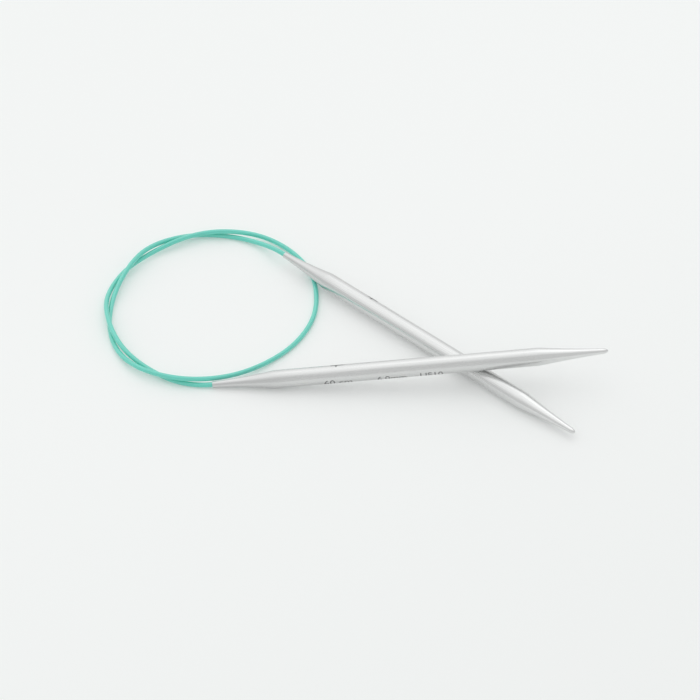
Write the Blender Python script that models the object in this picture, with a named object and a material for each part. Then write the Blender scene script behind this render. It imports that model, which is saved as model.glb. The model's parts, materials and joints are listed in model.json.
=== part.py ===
"""Circular knitting needle: two hollow steel points joined by a thin nylon cable.

Each point swivels about its own axis on the head that is crimped to the cable's end, and the
cable bends just behind it. Metres, +Z up. The needle lies on the plane Z = 0 with the front
point resting across the rear one, and the cable wound loosely one and two thirds times round.
"""

import math

import bmesh
import bpy
import numpy as np
from mathutils import Matrix

MM = 0.001

# Steel points. Lengths run from the mouth that the cable enters, radii from the swivel axis.
# Each end flares into the shaft: its radius is start + slope x distance + growth x distance
# squared, and the corner with the shaft is softened over a little of the radius.
NEEDLE_LENGTH = 130.0
SHAFT_RADIUS = 3.0
CORNER_SOFTNESS = 0.16
TAIL = {"start": 1.05, "slope": 0.038, "growth": 0.0029}
POINT = {"start": 0.80, "slope": 0.0625, "growth": 0.00155}
NOSE_RADIUS = 0.8
WALL = 0.5
NECK_BORE_RADIUS = 0.87
CAVITY_END = 108.0
CAVITY_CONE = 6.0

# Cable and the swivel joint at each of its ends.
CABLE_RADIUS = 0.8
CABLE_INSIDE = 36.5
CABLE_STEP = 4.8
FLEX_REACH = 8.0
TOUCH_GAP = 0.3
AXIAL_PLAY = 0.1
BUSH_START = 26.5
BUSH_LENGTH = 5.5
BUSH_BORE_RADIUS = 1.38
FIT_GAP = 0.06
SLEEVE_BORE_RADIUS = 0.84
SLEEVE_RADIUS = 1.3
SLEEVE_START = 24.0
SHOULDER_RADIUS = 2.1
SHOULDER_LENGTH = 1.8
HEAD_END = 38.0
WASHER_THICKNESS = 0.8
PLUG_LENGTH = 5.0
PLUG_DIMPLE_RADIUS = 1.2
PLUG_DIMPLE_DEPTH = 1.0

FACETS = 24
FLARE_RINGS = 6
CORNER_RINGS = 5
NOSE_RINGS = 4

# Where each point lies: its mouth in mm, its heading from +X, and its climb above level.
NEEDLES = {
    "front": {"mouth": (-64.7, -19.5, 1.3), "heading": 1.3, "climb": 5.33},
    "rear": {"mouth": (-41.7, 44.4, 4.3), "heading": -43.3, "climb": -0.69},
}

# The cable's way in mm from the front mouth, twice round the left side, to the rear mouth.
# Where it passes over itself the upper pass climbs in a long low hump.
ROUTE = [
    (-64.7, -19.5, 1.3), (-76.5, -17.5, 0.95), (-85.0, -12.5, 1.35), (-92.0, -6.0, 2.1),
    (-97.5, 3.0, 2.75), (-100.5, 12.5, 2.95), (-101.5, 22.0, 2.4), (-99.5, 32.0, 1.65),
    (-94.5, 41.5, 1.5), (-87.5, 48.5, 1.85), (-79.5, 54.0, 2.55), (-70.0, 58.0, 2.95),
    (-60.0, 59.0, 2.8), (-50.5, 57.5, 2.0), (-42.5, 53.0, 1.15), (-36.5, 46.0, 0.9),
    (-32.5, 37.5, 0.9), (-31.0, 27.5, 0.9), (-31.5, 17.5, 0.9), (-34.5, 8.0, 0.9),
    (-40.0, -1.0, 0.9), (-48.0, -9.0, 1.25), (-57.0, -15.0, 1.95), (-66.5, -18.0, 2.55),
    (-76.5, -18.0, 2.95), (-85.0, -15.0, 2.8), (-91.5, -10.0, 2.15), (-96.5, -2.5, 1.3),
    (-99.5, 7.5, 0.9), (-100.0, 19.0, 1.3), (-98.0, 30.0, 2.5), (-94.5, 39.5, 3.45),
    (-89.5, 48.0, 3.5), (-82.5, 54.5, 2.5), (-74.5, 58.5, 1.4), (-66.0, 59.5, 0.9),
    (-57.5, 57.5, 1.1), (-49.0, 52.5, 2.2), (-41.7, 44.4, 4.3),
]

STEEL = {"color": (0.62, 0.62, 0.61, 1.0), "roughness": 0.28, "metallic": 1.0}
BRASS = {"color": (0.72, 0.56, 0.28, 1.0), "roughness": 0.32, "metallic": 1.0}
ALUMINIUM = {"color": (0.70, 0.71, 0.72, 1.0), "roughness": 0.4, "metallic": 1.0}
WHITE_NYLON = {"color": (0.85, 0.84, 0.80, 1.0), "roughness": 0.5, "metallic": 0.0}
TEAL_NYLON = {"color": (0.03, 0.50, 0.40, 1.0), "roughness": 0.3, "metallic": 0.0}


def make_material(name, finish):
    material = bpy.data.materials.new(name)
    material.use_nodes = True
    shader = material.node_tree.nodes["Principled BSDF"]
    shader.inputs["Base Color"].default_value = finish["color"]
    shader.inputs["Roughness"].default_value = finish["roughness"]
    shader.inputs["Metallic"].default_value = finish["metallic"]
    material.diffuse_color = finish["color"]
    return material


def heading_vector(needle):
    """Unit vector along a point, from its mouth to its tip."""
    heading = math.radians(needle["heading"])
    climb = math.radians(needle["climb"])
    level = math.cos(climb)
    return np.array([math.cos(heading) * level, math.sin(heading) * level, math.sin(climb)])


def corner_distance(end):
    """How far from a thin end its flare would reach the shaft's radius."""
    slope, growth = end["slope"], end["growth"]
    return (math.sqrt(slope**2 + 4 * growth * (SHAFT_RADIUS - end["start"])) - slope) / (2 * growth)


def flared_radius(distance, end):
    """Radius at a distance from a thin end: the smaller of flare and shaft, blended."""
    flare = end["start"] + end["slope"] * distance + end["growth"] * distance**2
    share = 0.5 + 0.5 * (SHAFT_RADIUS - flare) / CORNER_SOFTNESS
    share = min(1.0, max(0.0, share))
    sharp = SHAFT_RADIUS + share * (flare - SHAFT_RADIUS)
    return sharp - CORNER_SOFTNESS * share * (1 - share)


def outer_radius(s):
    """Radius of a point's outside, s mm from its mouth, up to where the round nose starts."""
    if s < NEEDLE_LENGTH / 2:
        return flared_radius(s, TAIL)
    return flared_radius(NEEDLE_LENGTH - s, POINT)


def flare_stations(start, end):
    """Distances from a thin end: some along its flare and more round its softened corner."""
    corner = corner_distance(end)
    reach = CORNER_SOFTNESS / (end["slope"] + 2 * end["growth"] * corner)
    flare = np.linspace(start, corner - reach, FLARE_RINGS, endpoint=False)
    return [*flare, *np.linspace(corner - reach, corner + reach, CORNER_RINGS)]


def tube_outline():
    """The tube's wall as (s, radius), out along the outside to the tip and back inside."""
    tail = flare_stations(0.0, TAIL)
    point = flare_stations(NOSE_RADIUS, POINT)
    stations = tail + [NEEDLE_LENGTH - distance for distance in reversed(point)]
    outside = [(s, outer_radius(s)) for s in stations]
    nose_centre, nose_start = outside[-1]
    for k in range(1, NOSE_RINGS):
        turn = math.pi / 2 * k / NOSE_RINGS
        outside.append((nose_centre + NOSE_RADIUS * math.sin(turn), nose_start * math.cos(turn)))
    inside = []
    for s in [CAVITY_END - CAVITY_CONE, CAVITY_END - 2 * CAVITY_CONE] + tail[::-1]:
        inside.append((s, max(NECK_BORE_RADIUS, outer_radius(s) - WALL)))
    return outside + [(NEEDLE_LENGTH, 0.0), (CAVITY_END, 0.0)] + inside


def ring_outline(start, end, bore, radius):
    return [(start, bore), (start, radius), (end, radius), (end, bore)]


def turned(name, outline, material, looped, parent):
    """Solid of revolution about local +X. A radius of zero is a pole, with a single vertex."""
    work = bmesh.new()
    rings = []
    for s, radius in outline:
        if radius == 0.0:
            rings.append([work.verts.new((s * MM, 0.0, 0.0))])
            continue
        ring = []
        for k in range(FACETS):
            turn = 2 * math.pi * (k + 0.5) / FACETS
            ring.append(
                work.verts.new((s * MM, radius * MM * math.sin(turn), -radius * MM * math.cos(turn)))
            )
        rings.append(ring)
    pairs = list(zip(rings, rings[1:]))
    if looped:
        pairs.append((rings[-1], rings[0]))
    for one, two in pairs:
        if len(one) == 1 and len(two) == 1:
            continue
        for k in range(FACETS):
            after = (k + 1) % FACETS
            corners = [one[k % len(one)], one[after % len(one)], two[after % len(two)], two[k % len(two)]]
            work.faces.new(list(dict.fromkeys(corners)))
    bmesh.ops.recalc_face_normals(work, faces=work.faces)
    mesh = bpy.data.meshes.new(name)
    work.to_mesh(mesh)
    work.free()
    mesh.shade_smooth()
    mesh.set_sharp_from_angle(angle=math.radians(32))
    mesh.materials.append(material)
    piece = bpy.data.objects.new(name, mesh)
    bpy.context.collection.objects.link(piece)
    piece.parent = parent
    return piece


def swivel_axis(side, needle):
    """Empty at the mouth with +X along the point, which the turned pieces hang on."""
    empty = bpy.data.objects.new(f"{side}_swivel_axis", None)
    bpy.context.collection.objects.link(empty)
    turn = Matrix.Rotation(math.radians(needle["heading"]), 4, "Z")
    tilt = Matrix.Rotation(-math.radians(needle["climb"]), 4, "Y")
    place = Matrix.Translation([v * MM for v in needle["mouth"]])
    empty.matrix_world = place @ turn @ tilt
    return empty


def make_needle(side, needle, materials):
    axis = swivel_axis(side, needle)
    turned(f"{side}_needle_tube", tube_outline(), materials["steel"], True, axis)

    cavity_radius = SHAFT_RADIUS - WALL
    bush_end = BUSH_START + BUSH_LENGTH
    bush_radius = cavity_radius - FIT_GAP
    turned(f"{side}_swivel_bush", ring_outline(BUSH_START, bush_end, BUSH_BORE_RADIUS, bush_radius),
           materials["brass"], True, axis)

    washer_start = bush_end + AXIAL_PLAY
    washer_end = washer_start + WASHER_THICKNESS
    turned(f"{side}_thrust_washer",
           ring_outline(washer_start, washer_end, BUSH_BORE_RADIUS, cavity_radius - 2 * FIT_GAP),
           materials["nylon"], True, axis)

    shoulder_start = washer_end + AXIAL_PLAY
    shoulder_end = shoulder_start + SHOULDER_LENGTH
    sleeve_bottom = CABLE_INSIDE + TOUCH_GAP
    head = [
        (SLEEVE_START, SLEEVE_BORE_RADIUS), (SLEEVE_START, SLEEVE_RADIUS),
        (shoulder_start, SLEEVE_RADIUS), (shoulder_start, SHOULDER_RADIUS),
        (shoulder_end, SHOULDER_RADIUS), (shoulder_end + 0.8, SLEEVE_RADIUS),
        (HEAD_END, SLEEVE_RADIUS), (HEAD_END, 0.0),
        (sleeve_bottom, 0.0), (sleeve_bottom, SLEEVE_BORE_RADIUS),
    ]
    turned(f"{side}_cable_head", head, materials["brass"], True, axis)

    plug_start = HEAD_END + AXIAL_PLAY
    plug_end = plug_start + PLUG_LENGTH
    plug_radius = cavity_radius - FIT_GAP
    dimple_bottom = plug_end - PLUG_DIMPLE_DEPTH
    plug = [
        (plug_start, 0.0), (plug_start, plug_radius), (plug_end, plug_radius),
        (plug_end, PLUG_DIMPLE_RADIUS), (dimple_bottom, PLUG_DIMPLE_RADIUS), (dimple_bottom, 0.0),
    ]
    turned(f"{side}_stop_plug", plug, materials["aluminium"], False, axis)


def smooth_route():
    """Closely spaced points on the clamped cubic spline through ROUTE, and their distances.

    The parameter is the distance between the route's points, and the ends leave along the
    swivel axes. The slopes at the points come from the usual three-term linear system.
    """
    knots = np.array(ROUTE)
    steps = np.linalg.norm(np.diff(knots, axis=0), axis=1)
    count = len(knots)
    system = np.zeros((count, count))
    wanted = np.zeros((count, 3))
    system[0, 0] = system[-1, -1] = 1.0
    wanted[0] = -heading_vector(NEEDLES["front"])
    wanted[-1] = heading_vector(NEEDLES["rear"])
    for k in range(1, count - 1):
        before, after = steps[k - 1], steps[k]
        system[k, k - 1 : k + 2] = after, 2 * (before + after), before
        wanted[k] = 3 * (
            after / before * (knots[k] - knots[k - 1]) + before / after * (knots[k + 1] - knots[k])
        )
    slopes = np.linalg.solve(system, wanted)
    u = np.linspace(0.0, 1.0, 40, endpoint=False)[:, None]
    pieces = []
    for k in range(count - 1):
        pieces.append(
            knots[k] * (2 * u**3 - 3 * u**2 + 1)
            + steps[k] * slopes[k] * (u**3 - 2 * u**2 + u)
            + knots[k + 1] * (3 * u**2 - 2 * u**3)
            + steps[k] * slopes[k + 1] * (u**3 - u**2)
        )
    points = np.vstack(pieces + [knots[-1:]])
    along = np.concatenate([[0.0], np.cumsum(np.linalg.norm(np.diff(points, axis=0), axis=1))])
    return points, along


def stretch(route, start, end):
    """Evenly spaced points of the route between two distances along it."""
    points, along = route
    count = max(2, math.ceil((end - start) / CABLE_STEP) + 1)
    wanted = np.linspace(start, end, count)
    return np.stack([np.interp(wanted, along, points[:, k]) for k in range(3)], axis=1)


def make_cord(name, points, material):
    curve = bpy.data.curves.new(name, "CURVE")
    curve.dimensions = "3D"
    curve.bevel_depth = CABLE_RADIUS * MM
    curve.bevel_resolution = 2
    curve.use_fill_caps = True
    spline = curve.splines.new("POLY")
    spline.points.add(len(points) - 1)
    for knot, point in zip(spline.points, points):
        knot.co = (*(point * MM), 1.0)
    curve.materials.append(material)
    piece = bpy.data.objects.new(name, curve)
    bpy.context.collection.objects.link(piece)
    return piece


def make_cable(materials):
    """Three stretches of one cable. A lead runs from inside a point to where the cable bends."""
    route = smooth_route()
    length = route[1][-1]
    half_gap = TOUCH_GAP / 2
    front = NEEDLES["front"]
    rear = NEEDLES["rear"]
    front_inner = np.array(front["mouth"]) + CABLE_INSIDE * heading_vector(front)
    rear_inner = np.array(rear["mouth"]) + CABLE_INSIDE * heading_vector(rear)
    front_outer = stretch(route, 0.0, FLEX_REACH - half_gap)
    rear_outer = stretch(route, length - FLEX_REACH + half_gap, length)
    loop = stretch(route, FLEX_REACH + half_gap, length - FLEX_REACH - half_gap)
    make_cord("cable_front_lead", np.vstack([front_inner, front_outer]), materials["cable"])
    make_cord("cable_loop", loop, materials["cable"])
    make_cord("cable_rear_lead", np.vstack([rear_outer, rear_inner]), materials["cable"])


def main():
    for old in list(bpy.data.objects):
        bpy.data.objects.remove(old, do_unlink=True)
    materials = {
        "steel": make_material("needle_steel", STEEL),
        "brass": make_material("swivel_brass", BRASS),
        "aluminium": make_material("plug_aluminium", ALUMINIUM),
        "nylon": make_material("washer_nylon", WHITE_NYLON),
        "cable": make_material("cable_nylon", TEAL_NYLON),
    }
    for side, needle in NEEDLES.items():
        make_needle(side, needle, materials)
    make_cable(materials)


main()
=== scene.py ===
import json
import math

import bmesh
import bpy
import numpy as np
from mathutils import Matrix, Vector


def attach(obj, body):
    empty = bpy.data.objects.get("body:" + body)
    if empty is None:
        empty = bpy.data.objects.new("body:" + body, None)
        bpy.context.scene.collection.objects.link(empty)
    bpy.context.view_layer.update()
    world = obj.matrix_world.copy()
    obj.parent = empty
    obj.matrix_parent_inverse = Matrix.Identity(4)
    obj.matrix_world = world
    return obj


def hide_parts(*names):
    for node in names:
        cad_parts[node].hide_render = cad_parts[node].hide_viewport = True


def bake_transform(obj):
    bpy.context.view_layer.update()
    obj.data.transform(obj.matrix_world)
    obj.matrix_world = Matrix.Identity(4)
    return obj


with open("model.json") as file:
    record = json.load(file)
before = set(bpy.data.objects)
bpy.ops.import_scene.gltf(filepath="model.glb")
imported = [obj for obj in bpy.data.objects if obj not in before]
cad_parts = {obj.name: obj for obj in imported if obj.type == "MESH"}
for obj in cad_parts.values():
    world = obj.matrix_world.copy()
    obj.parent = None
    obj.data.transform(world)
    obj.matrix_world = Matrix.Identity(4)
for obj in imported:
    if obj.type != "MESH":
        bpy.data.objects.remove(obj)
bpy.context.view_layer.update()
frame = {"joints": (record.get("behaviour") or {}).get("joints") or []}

# A circular knitting needle: two satin steel points joined by a teal nylon cable.
# Lengths below are in mm, and meshes are written in metres.
mm = 0.001
joints = {joint["name"]: joint for joint in frame["joints"]}


cameraSettings = {
    "target": (-19.6, -0.5, 0.0),
    "distance": 1200.0,
    "elevation": 40.43,
    "lens": 185.8,
    "sensorWidth": 36.0,
    "clip": (0.01, 20.0),   # metres
}
studioSettings = {
    "roomTone": (0.990, 1.0, 0.996),
    "roomLight": 0.72,               # from the walls, the same all round
    "ceilingLight": 0.49,            # what a soft ceiling light adds at its middle
    "ceilingWay": (-0.28, 0.43, 0.86),
    "ceilingEdge": (0.50, 1.0),      # cosines from its middle, where it starts and is full
    "ceilingFalloff": 0.7,
    "floorTone": (0.775, 0.785, 0.780),
    "floorShade": (0.735, 0.745, 0.740),
    "floorShadeWay": (0.6, -0.8, 0.0),  # towards where painted shade darkens the table
    "floorShadeSpan": (-0.08, 0.22),    # metres along that way, from pale to shaded
    "floorPaintedGlow": 0.17,               # painted light: the table glows a little, which lifts the shadows on it
    "floorSize": 4.0,
    "topLight": {"place": (0.26, 0.55, 1.09), "size": (0.8, 0.8), "power": 0.45},
}


def wire(tree, source, target):
    tree.links.new(source, target)


def makeCamera(settings):
    target = Vector(settings["target"]) * mm
    tilt = math.radians(settings["elevation"])
    away = Vector((0.0, -math.cos(tilt), math.sin(tilt)))
    data = bpy.data.cameras.new("camera")
    data.lens = settings["lens"]
    data.sensor_width = settings["sensorWidth"]
    data.clip_start, data.clip_end = settings["clip"]
    camera = bpy.data.objects.new("camera", data)
    bpy.context.scene.collection.objects.link(camera)
    camera.location = target + away * settings["distance"] * mm
    camera.rotation_euler = (-away).to_track_quat("-Z", "Y").to_euler()
    bpy.context.scene.camera = camera


def makeAreaLight(name, settings, target):
    data = bpy.data.lights.new(name, "AREA")
    data.shape = "RECTANGLE"
    data.size, data.size_y = settings["size"]
    data.energy = settings["power"]
    light = bpy.data.objects.new(name, data)
    bpy.context.scene.collection.objects.link(light)
    light.location = settings["place"]
    light.rotation_euler = (Vector(settings["place"]) - target).to_track_quat("Z", "Y").to_euler()


def makeRoom(settings):
    # Strength = room light + ceiling light x share ** falloff, where share goes from 0 at the
    # ceiling light's edge to 1 at its middle, by the cosine of the angle from its middle.
    world = bpy.data.worlds.new("studio")
    world.use_nodes = True
    tree = world.node_tree
    nodes = tree.nodes
    sky = nodes["Background"]
    sky.inputs["Color"].default_value = (*settings["roomTone"], 1.0)
    direction = nodes.new("ShaderNodeTexCoord")
    cosine = nodes.new("ShaderNodeVectorMath")
    cosine.operation = "DOT_PRODUCT"
    cosine.inputs[1].default_value = Vector(settings["ceilingWay"]).normalized()
    share = nodes.new("ShaderNodeMapRange")
    share.inputs["From Min"].default_value = settings["ceilingEdge"][0]
    share.inputs["From Max"].default_value = settings["ceilingEdge"][1]
    soft = nodes.new("ShaderNodeMath")
    soft.operation = "POWER"
    soft.inputs[1].default_value = settings["ceilingFalloff"]
    total = nodes.new("ShaderNodeMath")
    total.operation = "MULTIPLY_ADD"
    total.inputs[1].default_value = settings["ceilingLight"]
    total.inputs[2].default_value = settings["roomLight"]
    wire(tree, direction.outputs["Generated"], cosine.inputs[0])
    wire(tree, cosine.outputs["Value"], share.inputs["Value"])
    wire(tree, share.outputs["Result"], soft.inputs[0])
    wire(tree, soft.outputs[0], total.inputs[0])
    wire(tree, total.outputs[0], sky.inputs["Strength"])
    bpy.context.scene.world = world


def makeTable(settings):
    # plain white, with painted shade that darkens it a touch towards the right and the near side
    half = settings["floorSize"] / 2
    corners = [(-half, -half, 0.0), (half, -half, 0.0), (half, half, 0.0), (-half, half, 0.0)]
    mesh = bpy.data.meshes.new("floor")
    mesh.from_pydata(corners, [], [(0, 1, 2, 3)])
    floor = bpy.data.objects.new("floor", mesh)
    bpy.context.scene.collection.objects.link(floor)
    material = bpy.data.materials.new("paleTable")
    material.use_nodes = True
    tree = material.node_tree
    shader = tree.nodes["Principled BSDF"]
    shader.inputs["Roughness"].default_value = 0.75
    shader.inputs["Specular IOR Level"].default_value = 0.2
    # painted light: the table glows in the room's tone
    shader.inputs["Emission Color"].default_value = (*settings["roomTone"], 1.0)
    shader.inputs["Emission Strength"].default_value = settings["floorPaintedGlow"]
    place = tree.nodes.new("ShaderNodeTexCoord")
    across = tree.nodes.new("ShaderNodeVectorMath")
    across.operation = "DOT_PRODUCT"
    across.inputs[1].default_value = settings["floorShadeWay"]
    share = tree.nodes.new("ShaderNodeMapRange")
    share.interpolation_type = "SMOOTHSTEP"
    share.inputs["From Min"].default_value = settings["floorShadeSpan"][0]
    share.inputs["From Max"].default_value = settings["floorShadeSpan"][1]
    # painted shade: the table's colour mixes from floorTone to floorShade along floorShadeWay
    tone = tree.nodes.new("ShaderNodeMix")
    tone.data_type = "RGBA"
    tone.inputs["A"].default_value = (*settings["floorTone"], 1.0)
    tone.inputs["B"].default_value = (*settings["floorShade"], 1.0)
    wire(tree, place.outputs["Object"], across.inputs[0])
    wire(tree, across.outputs["Value"], share.inputs["Value"])
    wire(tree, share.outputs["Result"], tone.inputs["Factor"])
    wire(tree, tone.outputs["Result"], shader.inputs["Base Color"])
    mesh.materials.append(material)


def makeStudio(settings):
    bpy.context.scene.view_settings.view_transform = "Standard"
    makeRoom(settings)
    makeAreaLight("topLight", settings["topLight"], Vector((0.0, 0.0, 0.0)))
    makeTable(settings)


makeCamera(cameraSettings)
makeStudio(studioSettings)
print("stage: camera and studio")


def gridFaces(rows, columns, wrapRows):
    # quads of a grid that always closes round its columns, and round its rows too if asked
    last = rows if wrapRows else rows - 1
    row = np.arange(last)[:, None]
    column = np.arange(columns)[None, :]
    nextRow = (row + 1) % rows
    nextColumn = (column + 1) % columns
    corner = row * columns + column
    right = row * columns + nextColumn
    across = nextRow * columns + nextColumn
    up = nextRow * columns + column
    return np.stack([corner, right, across, up], axis=-1).reshape(-1, 4)


def fanFaces(ring, pole, columns, flip):
    here = ring + np.arange(columns)
    after = ring + (np.arange(columns) + 1) % columns
    tip = np.full(columns, pole)
    sides = [after, here, tip] if flip else [here, after, tip]
    return np.stack(sides, axis=-1)


def placeAttribute(mesh, name, values):
    data = mesh.attributes.new(name, "FLOAT_VECTOR", "POINT")
    data.data.foreach_set("vector", np.asarray(values, np.float32).ravel())


def finishMesh(name, points, faces, local, material, sharpAngle=35.0):
    # points in metres, local in mm: the place along and round the piece that its material reads
    mesh = bpy.data.meshes.new(name)
    mesh.from_pydata(points.tolist(), [], faces)
    placeAttribute(mesh, "piecePlace", local)
    mesh.shade_smooth()
    mesh.set_sharp_from_angle(angle=math.radians(sharpAngle))
    mesh.materials.append(material)
    piece = bpy.data.objects.new(name, mesh)
    bpy.context.scene.collection.objects.link(piece)
    return piece


def makeGroup(name, inputs, outputs):
    group = bpy.data.node_groups.new(name, "ShaderNodeTree")
    for socketName, kind, value in inputs:
        socket = group.interface.new_socket(name=socketName, in_out="INPUT", socket_type=kind)
        if value is not None:
            socket.default_value = value
    for socketName, kind in outputs:
        group.interface.new_socket(name=socketName, in_out="OUTPUT", socket_type=kind)
    return group, group.nodes.new("NodeGroupInput"), group.nodes.new("NodeGroupOutput")


def makeGrainGroup():
    # Fine grain drawn out by a stretch vector, and a slow cloudy variation under it.
    # grain = noise(place x stretch), sharpened; cloud = noise(place x cloud scale)
    group, source, sink = makeGroup(
        "stretchedGrain",
        [("Place", "NodeSocketVector", None), ("Stretch", "NodeSocketVector", (1.0, 1.0, 1.0)),
         ("Cloud Scale", "NodeSocketFloat", 0.1), ("Contrast", "NodeSocketFloat", 0.35)],
        [("Grain", "NodeSocketFloat"), ("Cloud", "NodeSocketFloat")],
    )
    scaled = group.nodes.new("ShaderNodeVectorMath")
    scaled.operation = "MULTIPLY"
    fine = group.nodes.new("ShaderNodeTexNoise")
    fine.inputs["Scale"].default_value = 1.0
    fine.inputs["Detail"].default_value = 5.0
    fine.inputs["Roughness"].default_value = 0.6
    low = group.nodes.new("ShaderNodeMath")
    low.operation = "SUBTRACT"
    low.inputs[0].default_value = 0.5
    high = group.nodes.new("ShaderNodeMath")
    high.operation = "ADD"
    high.inputs[0].default_value = 0.5
    spread = group.nodes.new("ShaderNodeMapRange")
    slow = group.nodes.new("ShaderNodeTexNoise")
    slow.inputs["Detail"].default_value = 3.0
    wire(group, source.outputs["Place"], scaled.inputs[0])
    wire(group, source.outputs["Stretch"], scaled.inputs[1])
    wire(group, scaled.outputs[0], fine.inputs["Vector"])
    wire(group, source.outputs["Contrast"], low.inputs[1])
    wire(group, source.outputs["Contrast"], high.inputs[1])
    wire(group, fine.outputs["Fac"], spread.inputs["Value"])
    wire(group, low.outputs[0], spread.inputs["From Min"])
    wire(group, high.outputs[0], spread.inputs["From Max"])
    wire(group, source.outputs["Place"], slow.inputs["Vector"])
    wire(group, source.outputs["Cloud Scale"], slow.inputs["Scale"])
    wire(group, spread.outputs["Result"], sink.inputs["Grain"])
    wire(group, slow.outputs["Fac"], sink.inputs["Cloud"])
    return group


grainGroup = makeGrainGroup()


def alongPolishAndSheen(tree, place, colour, roughness, stops):
    # Painted sheen and real polish along the piece: each stop is a distance from the mouth, a factor on
    # the colour and a factor on the roughness, with a straight line between.
    # The colour factor paints a brighter highlight on the point and darkens the tail; the roughness
    # factor is the polish.
    split = tree.nodes.new("ShaderNodeSeparateXYZ")
    share = tree.nodes.new("ShaderNodeMath")
    share.operation = "DIVIDE"
    share.inputs[1].default_value = stops[-1][0]
    wire(tree, place.outputs["Vector"], split.inputs[0])
    wire(tree, split.outputs["X"], share.inputs[0])
    results = []
    for column, source in ((1, colour), (2, roughness)):
        ramp = tree.nodes.new("ShaderNodeFloatCurve")
        curve = ramp.mapping.curves[0]
        while len(curve.points) < len(stops):
            curve.points.new(0.5, 0.5)
        for point, stop in zip(curve.points, stops):
            point.location = (stop[0] / stops[-1][0], stop[column] / 2)
            point.handle_type = "VECTOR"
        ramp.mapping.update()
        wire(tree, share.outputs[0], ramp.inputs["Value"])
        times = tree.nodes.new("ShaderNodeVectorMath")
        times.operation = "MULTIPLY"
        double = tree.nodes.new("ShaderNodeMath")
        double.operation = "MULTIPLY"
        double.inputs[1].default_value = 2.0
        wire(tree, ramp.outputs["Value"], double.inputs[0])
        wire(tree, source, times.inputs[0])
        wire(tree, double.outputs[0], times.inputs[1])
        results.append(times.outputs[0])
    return results


def makeFinish(name, settings):
    # One Principled shader whose colour, roughness and relief follow the grain group.
    material = bpy.data.materials.new(name)
    material.use_nodes = True
    tree = material.node_tree
    shader = tree.nodes["Principled BSDF"]
    for socket, value in settings["fixed"].items():
        shader.inputs[socket].default_value = value
    place = tree.nodes.new("ShaderNodeAttribute")
    place.attribute_name = "piecePlace"
    grain = tree.nodes.new("ShaderNodeGroup")
    grain.node_tree = grainGroup
    grain.inputs["Stretch"].default_value = settings["stretch"]
    grain.inputs["Cloud Scale"].default_value = settings["cloudScale"]
    grain.inputs["Contrast"].default_value = settings["contrast"]
    wire(tree, place.outputs["Vector"], grain.inputs["Place"])
    tone = tree.nodes.new("ShaderNodeMix")
    tone.data_type = "RGBA"
    tone.inputs["A"].default_value = (*settings["dark"], 1.0)
    tone.inputs["B"].default_value = (*settings["light"], 1.0)
    wire(tree, grain.outputs[settings["toneFrom"]], tone.inputs["Factor"])
    rough = tree.nodes.new("ShaderNodeMapRange")
    rough.inputs["To Min"].default_value = settings["roughness"][0]
    rough.inputs["To Max"].default_value = settings["roughness"][1]
    wire(tree, grain.outputs[settings["roughFrom"]], rough.inputs["Value"])
    colour, roughness = tone.outputs["Result"], rough.outputs["Result"]
    # painted highlight on the point and a darker tail through the colour factor, and polish through the
    # roughness factor
    if "polishAndSheen" in settings:
        colour, roughness = alongPolishAndSheen(tree, place, colour, roughness, settings["polishAndSheen"])
    wire(tree, colour, shader.inputs["Base Color"])
    wire(tree, roughness, shader.inputs["Roughness"])
    bump = tree.nodes.new("ShaderNodeBump")
    bump.inputs["Strength"].default_value = settings["bumpStrength"]
    bump.inputs["Distance"].default_value = settings["bumpDepth"] * mm
    wire(tree, grain.outputs["Grain"], bump.inputs["Height"])
    wire(tree, bump.outputs["Normal"], shader.inputs["Normal"])
    return material


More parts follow.
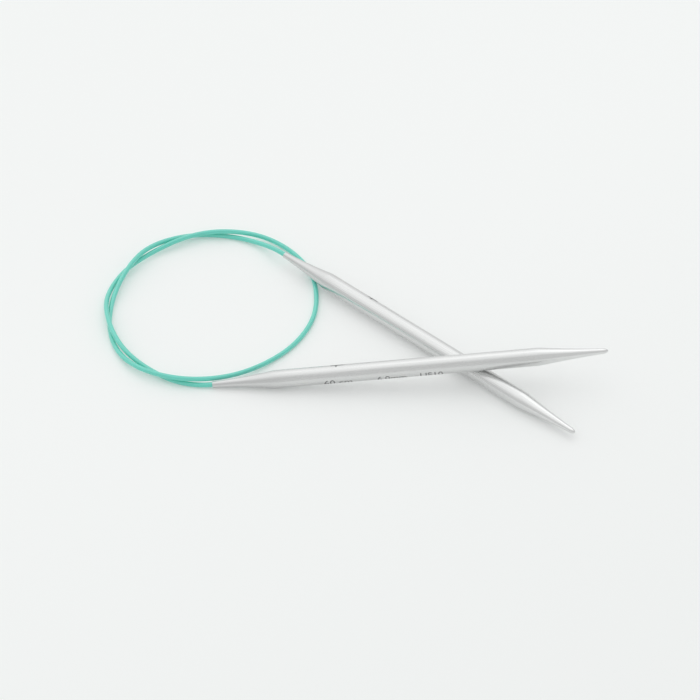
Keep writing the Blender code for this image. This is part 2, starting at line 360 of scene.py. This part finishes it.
finishes = {
    "satinSteel": {  # drawn and polished lengthwise, so the grain runs along the point
        "fixed": {"Metallic": 1.0}, "dark": (0.66, 0.665, 0.665), "light": (0.76, 0.76, 0.755),
        "toneFrom": "Grain", "stretch": (0.06, 5.0, 5.0), "cloudScale": 0.08, "contrast": 0.30,
        "roughness": (0.22, 0.33), "roughFrom": "Grain", "bumpStrength": 0.28, "bumpDepth": 0.01,
        # painted highlight: colour 1.06 on the point, 0.92 towards the tail; the roughness factors are
        # the polish
        "polishAndSheen": [(0.0, 0.92, 1.1), (18.0, 0.93, 1.1), (28.0, 1.0, 1.0), (102.0, 1.0, 1.0),
                   (114.0, 1.06, 0.7), (130.0, 1.06, 0.6)],
    },
    "laserMark": {  # dark oxide burnt into the steel
        "fixed": {"Metallic": 0.4}, "dark": (0.10, 0.10, 0.105), "light": (0.22, 0.22, 0.22),
        "toneFrom": "Grain", "stretch": (7.0, 7.0, 7.0), "cloudScale": 0.5, "contrast": 0.3,
        "roughness": (0.45, 0.65), "roughFrom": "Grain", "bumpStrength": 0.3, "bumpDepth": 0.01,
    },
    "cableNylon": {  # smooth extruded nylon, with faint flow lines along it
        "fixed": {"Metallic": 0.0, "IOR": 1.65, "Specular IOR Level": 1.0, "Subsurface Weight": 0.1,
                  "Subsurface Scale": 0.0004, "Subsurface Radius": (0.4, 1.0, 0.8),
                  "Coat Weight": 0.7, "Coat IOR": 1.6, "Coat Roughness": 0.38},
        "dark": (0.038, 0.59, 0.465), "light": (0.07, 0.69, 0.56),
        "toneFrom": "Cloud", "stretch": (0.15, 3.0, 3.0), "cloudScale": 0.12, "contrast": 0.3,
        "roughness": (0.32, 0.42), "roughFrom": "Grain", "bumpStrength": 0.2, "bumpDepth": 0.01,
    },
    "turnedBrass": {
        "fixed": {"Metallic": 1.0}, "dark": (0.62, 0.46, 0.20), "light": (0.80, 0.63, 0.32),
        "toneFrom": "Grain", "stretch": (14.0, 0.4, 0.4), "cloudScale": 0.3, "contrast": 0.3,
        "roughness": (0.22, 0.38), "roughFrom": "Grain", "bumpStrength": 0.35, "bumpDepth": 0.01,
    },
    "turnedAluminium": {
        "fixed": {"Metallic": 1.0}, "dark": (0.62, 0.63, 0.64), "light": (0.78, 0.79, 0.80),
        "toneFrom": "Grain", "stretch": (12.0, 0.4, 0.4), "cloudScale": 0.3, "contrast": 0.3,
        "roughness": (0.30, 0.45), "roughFrom": "Grain", "bumpStrength": 0.35, "bumpDepth": 0.01,
    },
    "washerNylon": {
        "fixed": {"Metallic": 0.0, "IOR": 1.53, "Subsurface Weight": 0.2, "Subsurface Scale": 0.001},
        "dark": (0.78, 0.76, 0.70), "light": (0.86, 0.85, 0.80),
        "toneFrom": "Cloud", "stretch": (6.0, 6.0, 6.0), "cloudScale": 0.6, "contrast": 0.35,
        "roughness": (0.42, 0.55), "roughFrom": "Grain", "bumpStrength": 0.25, "bumpDepth": 0.01,
    },
}
materials = {name: makeFinish(name, settings) for name, settings in finishes.items()}
print("stage: materials")


cableSettings = {
    "radius": 0.8,
    "around": 32,
    "step": 0.5,          # between rings along the cable
    "inside": 28.0,       # how far a lead reaches into its steel point
    "leadLength": 36.0,   # of each lead, outside the point, up to the loop
    "bendStart": 16.0,    # how far along each lead its bend place is picked out
    "swell": 0.006,       # slow change of the radius from extrusion, as a share
    "swellLength": 7.0,
    "sharpAngle": 60.0,   # only the end caps' edges stay sharp
}
# The route's points from the front mouth to the rear mouth, nearly twice round.
cableRoute = [
    (-64.7, -19.5, 1.3), (-76.5, -17.5, 0.95), (-85.0, -12.5, 1.35), (-92.0, -6.0, 2.1),
    (-97.5, 3.0, 2.75), (-100.5, 12.5, 2.95), (-101.5, 22.0, 2.4), (-99.5, 32.0, 1.65),
    (-94.5, 41.5, 1.5), (-87.5, 48.5, 1.85), (-79.5, 54.0, 2.55), (-70.0, 58.0, 2.95),
    (-60.0, 59.0, 2.8), (-50.5, 57.5, 2.0), (-42.5, 53.0, 1.15), (-36.5, 46.0, 0.9),
    (-32.5, 37.5, 0.9), (-31.0, 27.5, 0.9), (-31.5, 17.5, 0.9), (-34.5, 8.0, 0.9),
    (-40.0, -1.0, 0.9), (-48.0, -9.0, 1.25), (-57.0, -15.0, 1.95), (-66.5, -18.0, 2.55),
    (-76.5, -18.0, 2.95), (-85.0, -15.0, 2.8), (-91.5, -10.0, 2.15), (-96.5, -2.5, 1.3),
    (-99.5, 7.5, 0.9), (-100.0, 19.0, 1.3), (-98.0, 30.0, 2.5), (-94.5, 39.5, 3.45),
    (-89.5, 48.0, 3.5), (-82.5, 54.5, 2.5), (-74.5, 58.5, 1.4), (-66.0, 59.5, 0.9),
    (-57.5, 57.5, 1.1), (-49.0, 52.5, 2.2), (-41.7, 44.4, 4.3),
]


def pointAxis(side):
    # mouth in mm and unit direction of a steel point, from its swivel joint
    joint = joints[side + "_swivel"]
    axis = np.array(joint["axis"], float)
    return np.array(joint["pos_m"], float) / mm, axis / np.linalg.norm(axis)


def smoothRoute(route, samples=40):
    # Cubic spline through the route, its parameter the distance between points.
    # Slopes solve the usual three-term system, and both ends leave along the swivel axes.
    knots = np.array(route)
    steps = np.linalg.norm(np.diff(knots, axis=0), axis=1)
    before, after = steps[:-1, None], steps[1:, None]
    jump = np.diff(knots, axis=0)
    inner = 3 * (after / before * jump[:-1] + before / after * jump[1:])
    wanted = np.vstack([-pointAxis("front")[1], inner, pointAxis("rear")[1]])
    count = len(knots)
    system = np.eye(count)
    middle = np.arange(1, count - 1)
    system[middle, middle - 1] = steps[1:]
    system[middle, middle] = 2 * (steps[:-1] + steps[1:])
    system[middle, middle + 1] = steps[:-1]
    slopes = np.linalg.solve(system, wanted)
    u = np.linspace(0.0, 1.0, samples, endpoint=False)[None, :, None]
    span = steps[:, None, None]
    points = (
        knots[:-1, None] * (2 * u**3 - 3 * u**2 + 1) + span * slopes[:-1, None] * (u**3 - 2 * u**2 + u)
        + knots[1:, None] * (3 * u**2 - 2 * u**3) + span * slopes[1:, None] * (u**3 - u**2)
    )
    return np.vstack([points.reshape(-1, 3), knots[-1:]])


def evenly(points, step):
    along = np.concatenate([[0.0], np.cumsum(np.linalg.norm(np.diff(points, axis=0), axis=1))])
    at = np.linspace(0.0, along[-1], int(round(along[-1] / step)) + 1)
    return np.stack([np.interp(at, along, points[:, k]) for k in range(3)], axis=1)


def wholeCable(settings):
    # the route with a straight run into each steel point
    frontMouth, frontAxis = pointAxis("front")
    rearMouth, rearAxis = pointAxis("rear")
    rings = int(settings["inside"] / settings["step"])
    inside = np.linspace(settings["inside"], settings["step"], rings)[:, None]
    return evenly(
        np.vstack([
            frontMouth + inside * frontAxis,
            smoothRoute(cableRoute),
            rearMouth + inside[::-1] * rearAxis,
        ]),
        settings["step"],
    )


def cableSurface(name, path, first, last, settings):
    # A circle carried along the path. It stands on the level sideways direction and the one
    # square to both, and its radius swells very slightly with the distance along the cable.
    tangent = np.gradient(path, axis=0)
    tangent /= np.linalg.norm(tangent, axis=1)[:, None]
    sideways = np.cross(tangent, (0.0, 0.0, 1.0))
    sideways /= np.linalg.norm(sideways, axis=1)[:, None]
    upwards = np.cross(sideways, tangent)
    part = slice(first, last + 1)
    along = (np.arange(first, last + 1) * settings["step"])[:, None]
    turn = (2 * math.pi * np.arange(settings["around"]) / settings["around"])[None, :]
    wave = 0.5 + 0.5 * np.sin(along / settings["swellLength"] + turn)
    radius = settings["radius"] * (1 - settings["swell"] * wave)
    across = radius * np.cos(turn)
    over = radius * np.sin(turn)
    points = (
        path[part][:, None] + across[..., None] * sideways[part][:, None]
        + over[..., None] * upwards[part][:, None]
    )
    rows, columns = across.shape
    local = np.stack([along + 0 * across, across, over], axis=-1)
    allPoints = np.vstack([points.reshape(-1, 3), path[first], path[last]]) * mm
    allLocal = np.vstack([local.reshape(-1, 3), [along[0, 0], 0, 0], [along[-1, 0], 0, 0]])
    sides = gridFaces(rows, columns, False)[:, ::-1]
    startCap = fanFaces(0, rows * columns, columns, False)
    endCap = fanFaces((rows - 1) * columns, rows * columns + 1, columns, True)
    faces = sides.tolist() + startCap.tolist() + endCap.tolist()
    return finishMesh(name, allPoints, faces, allLocal, materials["cableNylon"], settings["sharpAngle"])


def makeCable(settings):
    path = wholeCable(settings)
    step = settings["step"]
    leadRings = int(round((settings["inside"] + settings["leadLength"]) / step))
    seams = [0, leadRings, len(path) - 1 - leadRings, len(path) - 1]
    bendRings = int(round((settings["inside"] + settings["bendStart"]) / step))
    leads = {
        "front": (path[seams[0] : seams[1] + 1], path[bendRings]),
        "rear": (path[seams[2] : seams[3] + 1][::-1], path[len(path) - 1 - bendRings]),
    }
    spans = {"front": seams[0:2], "rear": seams[2:4]}
    for side, (line, bend) in leads.items():
        piece = cableSurface(f"{side}CableLead", path, *spans[side], settings)
        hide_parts(f"cable_{side}_lead")
        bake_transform(piece)
    loop = cableSurface("cableLoop", path, seams[1], seams[2], settings)
    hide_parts("cable_loop")
    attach(loop, "cable")
    print(f"stage: cable, {(len(path) - 1) * step:.1f} mm with its ends inside the points")


makeCable(cableSettings)


needleSettings = {
    "length": 130.0,
    "shaftRadius": 3.0,
    "tail": {"start": 1.05, "slope": 0.038, "growth": 0.0029},
    "point": {"start": 0.80, "slope": 0.0625, "growth": 0.00155},
    "cornerSoftness": 0.16,   # of the radius, where a flare meets the shaft
    "noseLength": 2.2,
    "wall": 0.5,
    "boreRadius": 0.87,
    "countersink": (1.01, 1.6),   # radius at the mouth, and how deep it tapers to the bore
    "rimRadius": 0.02,
    "cavityEnd": 108.0,
    "around": 96,
    # rings of the outside: from, to (None: where the nose starts) and how many
    "outsideRings": [(0.4, 26.0, 80), (30.0, 98.0, 18), (102.0, None, 84)],
    "cavityRings": [(102.0, 31.0, 14), (30.0, 2.0, 32)],
    "noseRings": 13,
    "rimRings": 7,
}


def flaredRadius(distance, end, settings):
    # start + slope x distance + growth x distance squared from a thin end, blended into the
    # shaft by a smooth minimum
    shaft = settings["shaftRadius"]
    soft = settings["cornerSoftness"]
    flare = end["start"] + end["slope"] * distance + end["growth"] * distance**2
    share = np.clip(0.5 + 0.5 * (shaft - flare) / soft, 0.0, 1.0)
    return shaft + share * (flare - shaft) - soft * share * (1 - share)


def needleRadius(s, settings):
    tail = flaredRadius(s, settings["tail"], settings)
    point = flaredRadius(settings["length"] - s, settings["point"], settings)
    return np.minimum(tail, point)


def onPoint(side, s, radius, turn):
    # Place s along a point, radius from its axis, turned from its top towards the near side.
    mouth, axis = pointAxis(side)
    farSide = np.cross((0.0, 0.0, 1.0), axis)
    farSide /= np.linalg.norm(farSide)
    top = np.cross(axis, farSide)
    return (
        mouth + s[..., None] * axis + (radius * np.cos(turn))[..., None] * top
        - (radius * np.sin(turn))[..., None] * farSide
    ) * mm


def turnedSurface(name, side, profile, looped, around, material, shape=None, grainRadius=None):
    # A profile of (s, radius) rows carried round the swivel axis. Where a profile isn't looped
    # its two ends are poles. shape may change the radius with the place and the turn, and
    # grainRadius keeps drawn-out grain running straight along a flare.
    profile = np.array(profile, float)
    rings = profile if looped else profile[1:-1]
    s = rings[:, :1] + np.zeros((1, around))
    turn = np.zeros((len(rings), 1)) + 2 * math.pi * np.arange(around)[None, :] / around
    radius = rings[:, 1:] + np.zeros((1, around))
    if shape is not None:
        radius = radius * shape(s, turn)
    points = onPoint(side, s, radius, turn).reshape(-1, 3)
    reach = radius if grainRadius is None else grainRadius + 0 * radius
    local = np.stack([s, reach * np.cos(turn), reach * np.sin(turn)], axis=-1).reshape(-1, 3)
    faces = gridFaces(len(rings), around, looped).tolist()
    if not looped:
        for end in (0, -1):
            s0 = np.array([profile[end, 0]])
            zero = np.zeros(1)
            pole = len(points)
            points = np.vstack([points, onPoint(side, s0, zero, zero)])
            local = np.vstack([local, [s0[0], 0.0, 0.0]])
            ring = 0 if end == 0 else (len(rings) - 1) * around
            faces += fanFaces(ring, pole, around, end == 0).tolist()
    return finishMesh(name, points, faces, local, material)


def arc(centre, radius, start, end, count):
    # points round a circle in the (s, radius) plane, from angle start to end in degrees
    angle = np.radians(np.linspace(start, end, count))
    return [(centre[0] + radius * math.cos(a), centre[1] + radius * math.sin(a)) for a in angle]


def needleProfile(settings):
    # From a pole at the cavity's far end back along the cavity, round the mouth's rim, and out
    # along the outside to a pole at the nose. The nose is a quarter of an ellipse.
    length = settings["length"]
    noseLength = settings["noseLength"]
    outside = np.concatenate([
        np.linspace(first, length - noseLength if last is None else last, count)
        for first, last, count in settings["outsideRings"]
    ])
    outer = np.column_stack([outside, needleRadius(outside, settings)])
    swing = np.linspace(0.0, math.pi / 2, settings["noseRings"])[1:-1]
    nose = np.column_stack([
        outside[-1] + noseLength * np.sin(swing),
        outer[-1, 1] * np.cos(swing),
    ])
    cavity = np.concatenate([np.linspace(*span) for span in settings["cavityRings"]])
    bore = np.maximum(settings["boreRadius"], needleRadius(cavity, settings) - settings["wall"])
    mouthRadius, sinkDepth = settings["countersink"]
    rim = settings["rimRadius"]
    mouth = arc((rim, mouthRadius + rim), rim, 270.0, 90.0, settings["rimRings"])
    inner = np.vstack([
        [[settings["cavityEnd"], 0.0]],
        np.column_stack([cavity, bore]),
        [[sinkDepth, settings["boreRadius"]]],
    ])
    return np.vstack([inner, mouth, outer, nose, [[length, 0.0]]])


def makeNeedle(side, settings):
    piece = turnedSurface(f"{side}NeedleTube", side, needleProfile(settings), False,
                          settings["around"], materials["satinSteel"],
                          grainRadius=settings["shaftRadius"])
    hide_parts(f"{side}_needle_tube")
    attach(piece, f"{side}_needle")


for side in ("front", "rear"):
    makeNeedle(side, needleSettings)
print("stage: steel points")


swivelSettings = {
    "around": 64,
    "edge": 0.08,            # width of the turned pieces' chamfers
    "spacing": 0.4,          # between the rows of a turned face, and finer on the crimped head
    "headSpacing": 0.3,
    "bush": (26.5, 32.0, 1.38, 2.44),      # start, end, bore radius, radius
    "washer": (32.1, 32.9, 1.38, 2.38),
    "head": {"start": 24.0, "shoulder": 33.0, "shoulderEnd": 34.8, "end": 38.0, "bottom": 36.8,
             "bore": 0.84, "sleeve": 1.3, "flange": 2.1, "taper": 0.8},
    "crimp": {"start": 24.6, "end": 31.5, "flats": 6, "depth": 0.05, "fade": 0.6},
    "plug": (38.1, 43.1, 2.44),            # start, end, radius
    "dimple": (1.2, 1.0, 0.2),             # radius, depth and draft of the hollow in its end
}


def chamferedRing(start, end, bore, radius, edge):
    return [
        (start, bore + edge), (start, radius - edge), (start + edge, radius), (end - edge, radius),
        (end, radius - edge), (end, bore + edge), (end - edge, bore), (start + edge, bore),
    ]


def ringRows(corners, spacing):
    # extra rows along the long edges of a profile, so that turned detail has points to move
    rows = []
    for one, two in zip(corners, corners[1:]):
        count = max(1, int(math.hypot(two[0] - one[0], two[1] - one[1]) / spacing))
        share = np.linspace(0.0, 1.0, count, endpoint=False)[:, None]
        rows.append(np.array(one) + share * (np.array(two) - np.array(one)))
    return np.vstack(rows + [np.array([corners[-1]])])


def makeSwivel(side, settings):
    edge = settings["edge"]
    around = settings["around"]
    spacing = settings["spacing"]
    pieces = {}
    for part, finish in (("bush", "turnedBrass"), ("washer", "washerNylon")):
        start, end, bore, radius = settings[part]
        corners = chamferedRing(start, end, bore, radius, edge)
        pieces[part] = turnedSurface(f"{side}Swivel{part.capitalize()}", side,
                                     ringRows(corners + corners[:1], spacing)[:-1], True, around,
                                     materials[finish])
    head = settings["head"]
    corners = [
        (head["bottom"], 0.0), (head["bottom"], head["bore"]), (head["start"], head["bore"] + edge),
        (head["start"], head["sleeve"] - edge), (head["start"] + edge, head["sleeve"]),
        (head["shoulder"], head["sleeve"]), (head["shoulder"], head["flange"] - edge),
        (head["shoulder"] + edge, head["flange"]), (head["shoulderEnd"] - edge, head["flange"]),
        (head["shoulderEnd"] + head["taper"], head["sleeve"]), (head["end"] - edge, head["sleeve"]),
        (head["end"], head["sleeve"] - edge), (head["end"], 0.0),
    ]
    crimp = settings["crimp"]

    def crimped(s, turn):
        # six shallow flats pressed into the sleeve: the radius dips where the flats lie
        fadeIn = np.clip((s - crimp["start"]) / crimp["fade"], 0, 1)
        fadeOut = np.clip((crimp["end"] - s) / crimp["fade"], 0, 1)
        flats = (0.5 + 0.5 * np.cos(crimp["flats"] * turn)) ** 2
        return 1 - crimp["depth"] * (fadeIn * fadeOut) * flats

    pieces["head"] = turnedSurface(f"{side}CableHead", side, ringRows(corners, settings["headSpacing"]),
                                   False, around, materials["turnedBrass"], crimped)
    start, end, radius = settings["plug"]
    dimpleRadius, dimpleDepth, draft = settings["dimple"]
    corners = [
        (start, 0.0), (start, radius - edge), (start + edge, radius), (end - edge, radius),
        (end, radius - edge), (end, dimpleRadius), (end - dimpleDepth, dimpleRadius - draft),
        (end - dimpleDepth, 0.0),
    ]
    pieces["plug"] = turnedSurface(f"{side}StopPlug", side, ringRows(corners, spacing), False,
                                   around, materials["turnedAluminium"])
    stands = {
        "bush": ("swivel_bush", "swivel_brass", "needle"),
        "washer": ("thrust_washer", "washer_nylon", "needle"),
        "head": ("cable_head", "swivel_brass", "end"),
        "plug": ("stop_plug", "plug_aluminium", "needle"),
    }
    for part, (node, slotName, body) in stands.items():
        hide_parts(f"{side}_{node}")
        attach(pieces[part], f"{side}_{body}")


for side in ("front", "rear"):
    makeSwivel(side, swivelSettings)
print("stage: swivel parts")


markSettings = {
    "proud": 0.006,       # how far the burnt surface stands above the steel
    "sunk": 0.03,
    "stripWidth": 0.36,   # the widest strip of a mark that stays flat
    "capitalShare": 0.7,  # height of a capital letter as a share of the font's size
    "texts": [
        {"name": "frontLengthMark", "side": "front", "words": "60 cm",
         "start": 36.5, "height": 2.7, "turn": 115.0},
        {"name": "frontSizeMetric", "side": "front", "words": "6.0mm",
         "start": 54.0, "height": 2.5, "turn": 117.0},
        {"name": "frontSizeNumber", "side": "front", "words": "US10",
         "start": 68.0, "height": 2.5, "turn": 117.0},
    ],
    "pointers": [         # a short line with a small tooth, on the far side of each point
        {"name": "frontPointerMark", "side": "front", "start": 39.1, "turn": -16.0},
        {"name": "rearPointerMark", "side": "rear", "start": 37.4, "turn": -24.0},
    ],
    "pointerOutline": [(0.0, 0.0), (1.35, 0.0), (1.85, -0.85), (2.35, 0.0), (4.3, 0.0), (4.3, 0.4),
                       (2.35, 0.4), (1.35, 0.4), (0.0, 0.4)],
}


def readPoints(mesh):
    points = np.zeros(len(mesh.vertices) * 3, np.float32)
    mesh.vertices.foreach_get("co", points)
    return points.reshape(-1, 3)


def bentMark(name, side, flat, start, turn):
    # A flat mark's x runs along the point and its y round it: turn = middle - y / radius.
    # Its own height in z stays square to the steel.
    co = readPoints(flat).astype(float)
    s = start + co[:, 0]
    shaft = needleRadius(s, needleSettings)
    angle = math.radians(turn) - co[:, 1] / shaft
    radius = shaft + co[:, 2]
    points = onPoint(side, s, radius, angle)
    flat.vertices.foreach_set("co", points.astype(np.float32).ravel())
    local = np.stack([s, radius * np.cos(angle), radius * np.sin(angle)], axis=-1)
    placeAttribute(flat, "piecePlace", local)
    flat.materials.clear()
    flat.materials.append(materials["laserMark"])
    flat.name = name
    piece = bpy.data.objects.new(name, flat)
    bpy.context.scene.collection.objects.link(piece)
    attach(piece, f"{side}_needle")


def sliced(mesh, step):
    # cut across y every step, so that the mark can follow the round shaft
    y = readPoints(mesh)[:, 1].astype(float)
    work = bmesh.new()
    work.from_mesh(mesh)
    bmesh.ops.remove_doubles(work, verts=work.verts, dist=1e-5)
    for level in np.arange(y.min() + step, y.max(), step):
        everything = work.verts[:] + work.edges[:] + work.faces[:]
        bmesh.ops.bisect_plane(work, geom=everything, dist=1e-6,
                               plane_co=(0, float(level), 0), plane_no=(0, 1, 0))
    bmesh.ops.triangulate(work, faces=work.faces)
    bmesh.ops.recalc_face_normals(work, faces=work.faces)
    work.to_mesh(mesh)
    work.free()
    return mesh


def textMesh(words, height, settings):
    proud, sunk = settings["proud"], settings["sunk"]
    curve = bpy.data.curves.new("words", "FONT")
    curve.body = words
    curve.size = height / settings["capitalShare"]
    curve.extrude = (proud + sunk) / 2
    curve.resolution_u = 4
    holder = bpy.data.objects.new("words", curve)
    bpy.context.scene.collection.objects.link(holder)
    bpy.context.view_layer.update()
    shown = holder.evaluated_get(bpy.context.evaluated_depsgraph_get())
    mesh = bpy.data.meshes.new_from_object(shown)
    bpy.data.objects.remove(holder)
    bpy.data.curves.remove(curve)
    co = readPoints(mesh)
    co[:, 1] -= height / 2
    co[:, 2] += (proud - sunk) / 2
    mesh.vertices.foreach_set("co", co.ravel())
    return mesh


def outlineMesh(outline, settings):
    # A flat outline given a thickness: the same ring of points sunk into the steel and proud
    # of it, closed by the two flat faces and a band of sides.
    low, high = (
        np.column_stack([outline, np.full(len(outline), height)])
        for height in (-settings["sunk"], settings["proud"])
    )
    here = np.arange(len(outline))
    after = np.roll(here, -1)
    sides = np.stack([here, after, after + len(here), here + len(here)], axis=-1)
    faces = [here[::-1].tolist(), (here + len(here)).tolist()] + sides.tolist()
    mesh = bpy.data.meshes.new("outline")
    mesh.from_pydata(np.vstack([low, high]).tolist(), [], faces)
    return mesh


def makeMarks(settings):
    flats = [(text, textMesh(text["words"], text["height"], settings)) for text in settings["texts"]]
    flats += [(pointer, outlineMesh(settings["pointerOutline"], settings))
              for pointer in settings["pointers"]]
    for mark, flat in flats:
        strips = sliced(flat, settings["stripWidth"])
        bentMark(mark["name"], mark["side"], strips, mark["start"], mark["turn"])


makeMarks(markSettings)
print("stage: marks")
